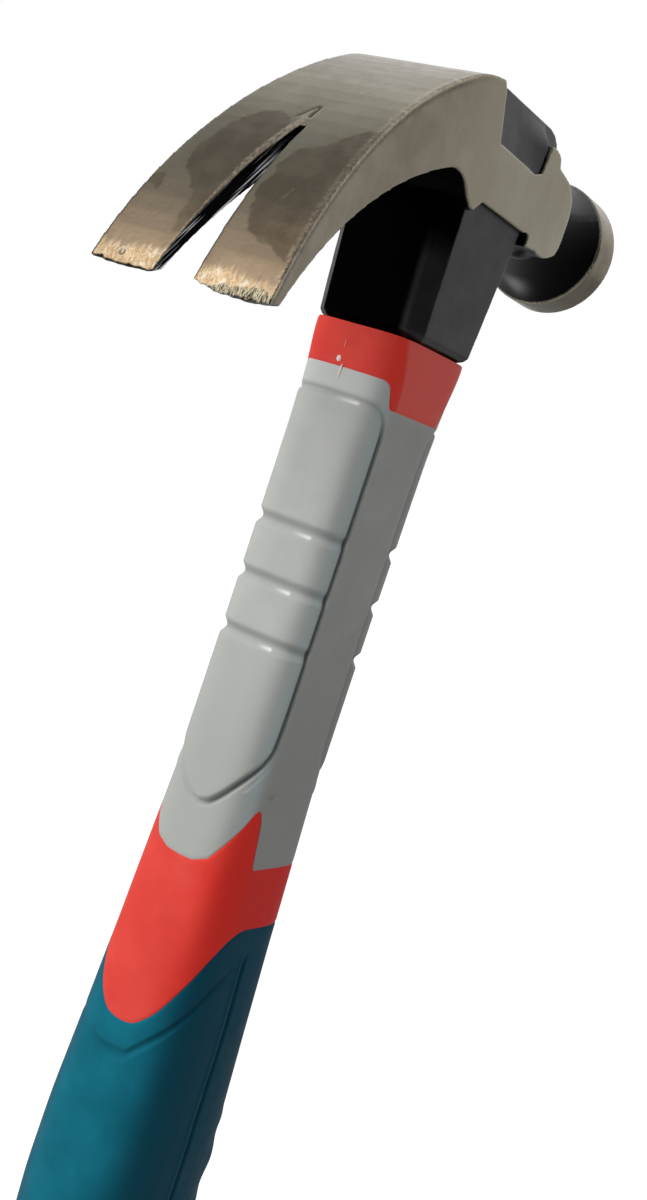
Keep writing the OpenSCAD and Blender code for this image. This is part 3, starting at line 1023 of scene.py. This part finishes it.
def root_masks(at, root):
    """The tool mark at the slot's root: its lower and upper cut, and the bright metal between."""
    along = (at.s - along_claw(root[0], root[2])) / 2.3
    lower = at.y - root[1] - 0.1 * along
    upper = at.y - root[1] - 1.3 + 0.95 * along
    lower_cut = notch(lower, 0.5) * ease((1 - np.abs(along)) / 0.3) * at.on_top
    upper_cut = notch(upper, 0.5) * ease((1.3 - np.abs(along)) / 0.5) * at.on_top
    spark = notch(lower + 0.55, 0.35) * ease((0.9 - np.abs(along + 0.3)) / 0.3) * at.on_top
    return lower_cut, upper_cut, spark


def shade_and_reflection_mask(at, p):
    """Painted dark reflections on the tines' outer faces, and painted shade on the rim, flanks and
    shoulder.
    """
    wavy_s = at.s + 0.45 * waves(p, 3, 11) + 0.15 * waves(p, 0.9, 12)
    wavy_y = at.y + 0.35 * waves(p, 2.5, 13) + 0.15 * waves(p, 0.9, 14)
    dark_reflections = np.maximum.reduce([inside(wavy_s, wavy_y, patch, 0.6) for patch in DARK_REFLECTION_PATCHES])
    # Painted shade on the claw's flanks, the crown's shoulder and the rim
    flank = 0.85 * ease((-10 - at.x) / 30) * at.on_side
    near_edge = ease((2.8 - at.y - at.width) / 2.4)
    shoulder = (0.45 + 0.55 * near_edge) * ease((at.x + 42) / 8) * (at.x < -13)
    shoulder *= at.normal[:, 2] > 0.25
    rim = ease((at.x - RIM_X) / 0.5)
    return np.maximum.reduce([dark_reflections * at.on_top, rim, flank, shoulder])


def line_mask(at, p, lower_cut, upper_cut):
    """The darkest lines: painted shade along edges, at the torn tips' ends and on the rim's foot, and
    the tool mark's cuts.
    """
    far_edge = notch(np.abs(at.y) - at.width + 0.05, 0.3) * (at.y > 0) * (at.x < -30)
    slot_side = notch(at.y - slot_edge(at.x, -1) + 0.1, 0.3) * (at.x < -53)
    # Painted shade at the tips' ragged ends
    ragged = 0.9 * ease(0.6 + waves(p, 2, 9)) * (np.abs(at.y + 13) < 6.5)
    ragged = np.where(at.y > 1, 1.0, ragged) * (at.s < 3)
    tip = ease((0.75 + 0.15 * waves(p, 0.8, 10) - at.s - at.longer) / 0.3) * ragged
    below_ridge = 0.6 * notch(at.from_ridge - 1, 0.9) * at.on_side * at.along_ridge
    rim_below = 0.25 * ease((at.x - RIM_X) / 0.5) * ease((-at.normal[:, 2] - 0.1) / 0.5)
    return np.maximum.reduce([0.6 * far_edge * at.on_top, 0.6 * slot_side * at.on_top,
                              0.75 * lower_cut, 0.45 * upper_cut, tip, below_ridge, rim_below])


def bright_mask(at, spark):
    """Bare bright metal: the near tine's ridge, the slot's bevel, a spark, a nick, a scratch."""
    root_side = np.interp(at.s, (38.3, 44.9), (-0.2, 0.3))
    low_side = np.where(at.x < SLOT_ROOT_X, slot_edge(at.x, 1), root_side)
    width = np.interp(at.s, *zip(*BEVEL))
    bevel = ease((at.y - low_side + 0.2) / 0.2) * ease((low_side + width - at.y) / 0.3)
    bevel *= at.s < BEVEL[-1][0]
    ridge = 0.45 * ease((1.8 - at.from_ridge) / 0.8) * at.along_ridge
    nick = 0.9 * notch(np.hypot(at.s - NICK[0], at.y - NICK[1]), 0.45)
    scratch = 0.4 * notch(distance_to_path(at.s, at.y, SCRATCH), 0.3)
    on_top = np.maximum.reduce([bevel, nick, scratch]) * at.on_top
    return np.maximum.reduce([ridge, on_top, 0.8 * spark])


def tip_masks(at):
    """The band ground at the tips, its gold partly a painted reflection of the lamp, and the torn
    metal below it on the near tine.
    """
    fringe = waves(at.y[:, None] * [0, 1, 0], 0.5, 3)
    near_reach = np.interp(-at.y, (4, 7, 18), (4.3, 5, 3.8))
    reach = np.where(at.y > 1, np.interp(at.y, (7, 19), (5.2, 3.9)), near_reach)
    band = ease((reach + 0.5 * fringe - at.s) / 2.2) * at.on_top
    torn_reach = np.interp(-at.y, *zip(*TORN))
    torn = ease((torn_reach + 0.25 * fringe - at.s) / 0.5) * (at.y < 1) * at.on_top
    return band, torn


def make_head(material):
    """The forging: a fine copy of the CAD node, reshaped, with painted masks."""
    p, normal, faces, edges = fine_copy("hammer_head", HEAD_VOXEL)
    p[:, 2] -= SOCKET_Z
    ground = ground_mask(p, normal)
    matte, painted_sheen, wall = coat_masks(p, normal, ground)
    p = thin_at_slot(lift_lobes(swell_boss(p, ground, normal)))
    turned = ease((p[:, 0] - 24) / 4) * (1 - ease((p[:, 0] - 46) / 3))
    p = soften(soften(p, edges, 2), edges, 5, 0.5 * turned)
    p, longer = shape_tips(p)
    places = seen_on_claw(p, faces, ["tip_pit", "root_mark"])
    at = claw_places(p, faces, longer)
    lower_cut, upper_cut, spark = root_masks(at, places["root_mark"])
    sunk = 0.3 * lower_cut + 0.12 * upper_cut
    p = dent(p + at.normal * (0.015 * waves(p, 6, 1) - sunk)[:, None], places["tip_pit"])
    piece = make_piece("head_forging", p + [0, 0, SOCKET_Z], faces, material)
    band, torn = tip_masks(at)
    ground, matte = soften(np.stack([ground, matte], axis=1), edges, 1).T
    # dark and line hold painted reflections and painted shade, and the black paint's two masks its
    # painted shade and a painted highlight
    masks = {
        "dark": shade_and_reflection_mask(at, p),
        "line": line_mask(at, p, lower_cut, upper_cut),
        "ridge": bright_mask(at, spark),
        "warm": 0.5 * ease((27 - at.s) / 20) * at.on_top,
        "tip_band": band,
        "cut": torn,
        "ground": ground,
        "matte": matte,
        "painted_sheen": painted_sheen,
        "wall": wall,
    }
    for name, values in masks.items():
        paint(piece, name, values)
    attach(piece, "root")
    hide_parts("hammer_head")
    return piece, places


def seen_on_claw(p, faces, names):
    """Where image points lie on the claw, in the head's own millimetres."""
    quads = np.array(faces)
    claw = quads[p[quads[:, 0], 0] < -35]
    tree = BVHTree.FromPolygons(((p + [0, 0, SOCKET_Z]) * MM).tolist(), claw.tolist())
    hits = {name: on_surface(*IMAGE_POINTS[name], tree)[0] for name in names}
    return {name: np.array(place) / MM - [0, 0, SOCKET_Z] for name, place in hits.items()}


def make_butt(material):
    p, _, faces, edges = fine_copy("butt_cap", BUTT_VOXEL)
    piece = make_piece("butt_moulding", soften(p, edges, 6), faces, material)
    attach(piece, "root")
    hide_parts("butt_cap")
    return piece


def make_handle():
    # Painted light and shade among the tints: the corners and sides, the collar's sides painted
    # lighter, the grey's cool edges, and the grooves' shade and glints
    red = (226, 76, 66), (218, 66, 57), 0.5, 0.12
    collar = moulded("red_rubber_collar", *red, [("deep", (255, 66, 52)), ("side", (255, 104, 95))])
    band = moulded("red_rubber", *red, [("deep", (255, 54, 44)), ("side", (246, 54, 48))])
    grey = moulded("grey_plastic", (184, 186, 182), (177, 179, 175), 0.5, 0.15, [
        ("low", (171, 173, 169)), ("top", (194, 197, 194)), ("deep", (190, 200, 200)),
        ("groove_shade", (84, 88, 88)), ("painted_glint", (255, 255, 255))])
    teal = moulded("teal_rubber", (14, 108, 128), (10, 98, 117), 0.5, 0.1,
                   [("side", (6, 75, 96)), ("groove_shade", (4, 40, 50))], grain_depth=0.01)
    top, foot = level(SOCKET_Z), level(BUTT_H)
    # Each moulding's node, slot, upper and lower edge, relief, masks and finish
    plan = {
        "collar": ("upper_collar", "red_rubber", top, collar_low, no_relief, red_marks, collar),
        "sleeve": ("grey_sleeve", "grey_plastic", collar_low, sleeve_low, sleeve_relief,
                   sleeve_marks, grey),
        "band": ("red_band", "red_rubber", sleeve_low, band_low, no_relief, red_marks, band),
        "grip": ("teal_grip", "teal_rubber", band_low, foot, grip_relief, grip_marks, teal),
    }
    return {name: moulding(name, *details) for name, details in plan.items()}


def make_gate_marks(handle):
    """The stub a moulding gate left on the collar's seam, and two lines of flash on the seam."""
    corners, quads = [], []
    for piece in (handle["collar"], handle["sleeve"]):
        first = len(corners)
        corners += vertices_of(piece).tolist()
        quads += [[i + first for i in face.vertices] for face in piece.data.polygons]
    tree = BVHTree.FromPolygons(corners, quads)
    pale = moulded("gate_stub", (240, 226, 222), (226, 204, 200), 0.45, 0.3)
    pink = moulded("red_flash", (246, 150, 140), (240, 130, 120), 0.45, 0.3)
    # Each bead's half length down the handle, half width and finish
    beads = {"gate_mark": (0.65, 0.55, pale), "gate_flash": (1.6, 0.26, pale),
             "collar_flash": (0.9, 0.15, pink)}
    for name, (length, width, material) in beads.items():
        place, out = on_surface(*IMAGE_POINTS[name], tree)
        down = (Vector((0, 0, -1)) + out * out.z).normalized()
        turn = Matrix((out.cross(down), down, out)).transposed().to_4x4()
        size = Matrix.Diagonal((width * MM, length * MM, BEAD_RISE * MM, 1))
        mesh = simple_mesh(name, bmesh.ops.create_uvsphere, u_segments=24, v_segments=12,
                           radius=1, matrix=Matrix.Translation(place) @ turn @ size)
        mesh.shade_smooth()
        mesh.materials.append(material)
        piece = add_object(name, mesh)
        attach(piece, "root")
        handle[name] = piece


def dress_hidden_nodes():
    """Finishes for the CAD pieces that show only at the eye, or not at all."""
    jacket = moulded("black_plastic", (24, 25, 27), (19, 20, 22), 0.5, 0.4)
    finishes = {"fibreglass_core": fibreglass(), "eye_epoxy": poured_resin(), "inner_jacket": jacket}
    for node, material in finishes.items():
        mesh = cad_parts[node].data
        mesh.materials.clear()
        mesh.materials.append(material)


# ---- Where things show ----

def vertices_of(piece):
    corners = np.empty(len(piece.data.vertices) * 3)
    piece.data.vertices.foreach_get("co", corners)
    return corners.reshape(-1, 3)


def write_points(handle, head, places):
    """Works out where each thing shows in the image."""
    shots = {name: pixels(vertices_of(piece)) for name, piece in handle.items()}
    head_shot = pixels(vertices_of(head))
    everything = np.concatenate([head_shot, *shots.values()])
    in_view = everything[everything[:, 1] < PHOTO_CUT * PHOTO_H]
    x, y, z = (vertices_of(head) / MM - [0, 0, SOCKET_Z]).T
    tips = x < -66
    at_root = (np.abs(y) < 2) & (x > -53.5) & (x < -50) & (z < 26.4) & (z > 24)
    foot = head_shot[(z < 1.5) & (x > -25)]
    sleeve_drop = SOCKET_Z - vertices_of(handle["sleeve"])[:, 2] / MM

    def edge(name, row, first, last):
        """Image places of a moulding's row of points between two angles."""
        ring = shots[name].reshape(-1, SIDES, 2)[row]
        return ring[(signed(ANGLES) >= first) & (signed(ANGLES) <= last)]

    def on_handle(path):
        a, drop = np.array(path, float).T
        z = SOCKET_Z - drop
        return pixels(place_at(a, grip_r(a, z), z) * MM)

    # Image places, and the way in which the named one lies farthest
    farthest = {
        "left_x": (in_view, -1, 0),
        "right_x": (in_view, 1, 0),
        "top_y": (in_view, 0, -1),
        "far_claw_tip": (head_shot[(y > 15) & tips], -1, 0.4),
        "near_claw_tip": (head_shot[(y < -15) & tips], 0.2, 1),
        "slot_root": (head_shot[at_root], 0.7, -0.7),
        "socket_left": (foot, -1, 1),
        "socket_right": (foot, 0.4, 1),
        "collar_step": (edge("collar", ROWS["collar"] - 1, 45, 60), -1, 0),
        "first_notch": (shots["sleeve"][np.abs(sleeve_drop - CROSS_GROOVES[0]) < 0.3], -1, 0),
        "last_notch": (shots["sleeve"][np.abs(sleeve_drop - CROSS_GROOVES[-1]) < 0.3], -1, 0),
        "pad_foot": (on_handle(PAD_OUTLINE[-4:]), 0, 1),
        "star_point": (edge("band", 0, 40, 62), 0, -1),
        "red_tongue": (edge("band", ROWS["band"] - 1, -40, 40), 0, 1),
        "teal_vee": (on_handle([(a, d) for a, d in VEE if abs(a) < 30]), 0, 1),
    }
    shown = {name: shot[np.argmax(shot @ way)] for name, (shot, *way) in farthest.items()}
    for name in ("gate_mark", "gate_flash", "collar_flash"):
        shown[name] = shots[name].mean(0)
    for name, place in places.items():
        shown[name] = pixels((place + [0, 0, SOCKET_Z]) * MM)[0]


SCENE.view_settings.view_transform = "Standard"
make_camera()
make_world()
make_key_light()
make_room()
make_floor()
head, head_places = make_head(head_finish())
handle = make_handle()
make_gate_marks(handle)
make_butt(moulded("teal_plastic", (12, 92, 110), (10, 84, 101), 0.4, 0.2, grain=0.4,
                  grain_depth=0.006))
dress_hidden_nodes()
write_points(handle, head, head_places)
